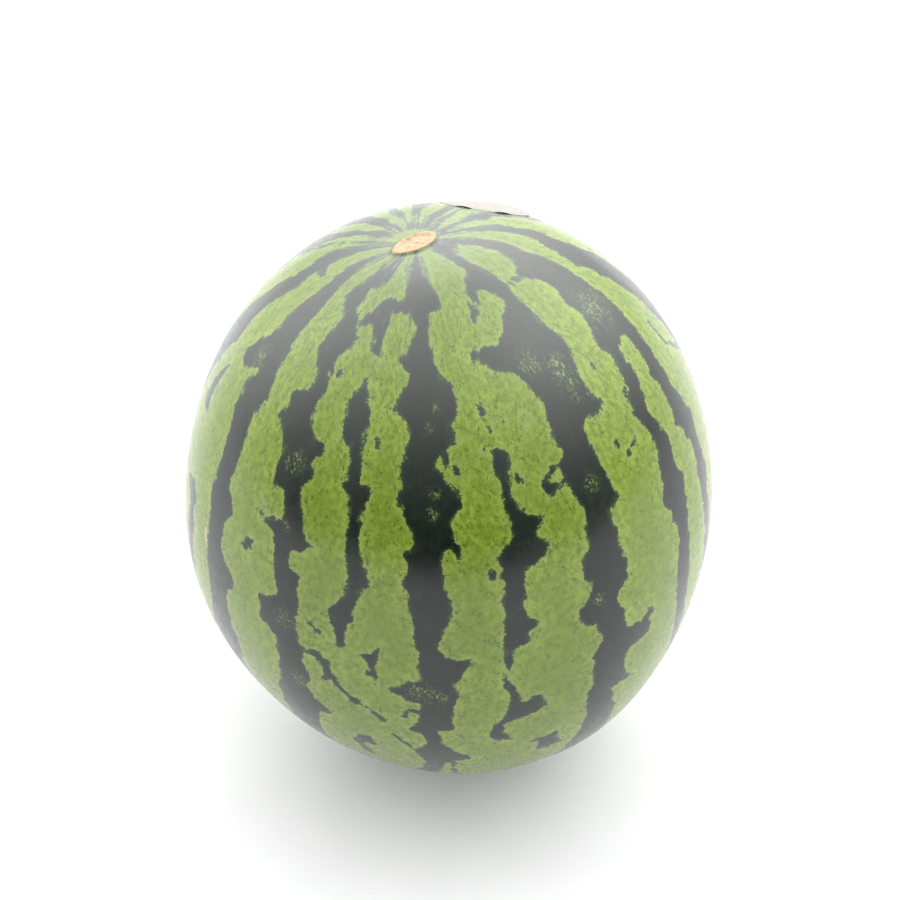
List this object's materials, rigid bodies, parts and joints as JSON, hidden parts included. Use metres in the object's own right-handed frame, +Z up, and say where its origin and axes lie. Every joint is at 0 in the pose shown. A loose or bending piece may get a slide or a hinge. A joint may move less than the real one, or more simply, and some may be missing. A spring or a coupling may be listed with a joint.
{
  "type": "watermelon",
  "caption": "Whole striped watermelon, upright on its blossom end, with a corky stem scar and a blank round paper sticker beside it.",
  "frame": {"origin": "middle of the fruit's box, on the surface it rests on", "axes": "+Z up through the fruit's long axis, -Y towards the front, +X to the right seen from the front"},
  "size_m": [0.2398, 0.2407, 0.2735],
  "materials": {
    "rind": "smooth waxy skin, light green with dark green stripes",
    "sticker_paper": "coated white paper with a narrow printed border"
  },
  "bodies": {
    "root": {"melon": "rind", "sticker": "sticker_paper"}
  },
  "joints": []
}
